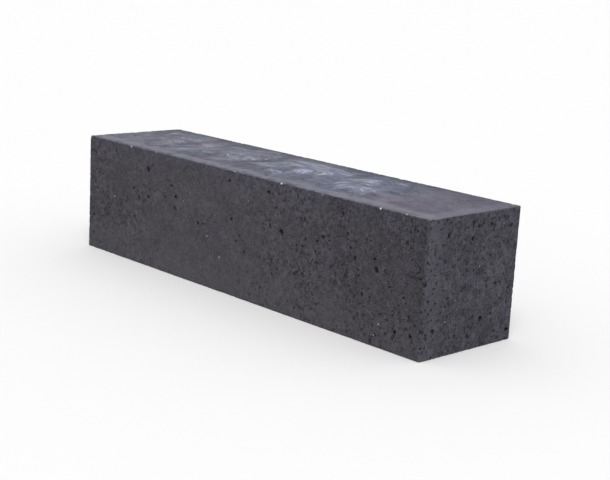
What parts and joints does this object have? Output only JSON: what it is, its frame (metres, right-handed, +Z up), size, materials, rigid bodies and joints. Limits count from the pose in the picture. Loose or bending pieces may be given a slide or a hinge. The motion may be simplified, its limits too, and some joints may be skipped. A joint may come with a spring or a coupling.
{
  "type": "retaining wall block",
  "caption": "Plain solid concrete wall block, square in section and long for its height, laid dry in staggered courses for a low garden wall.",
  "frame": {"origin": "middle of the bed face that the block rests on", "axes": "+X along the block's length, +Y from the front face to the back face, +Z up"},
  "size_m": [0.6, 0.15, 0.15],
  "materials": {
    "concrete": "matte"
  },
  "bodies": {
    "root": {"wall_block": "concrete"}
  },
  "joints": []
}
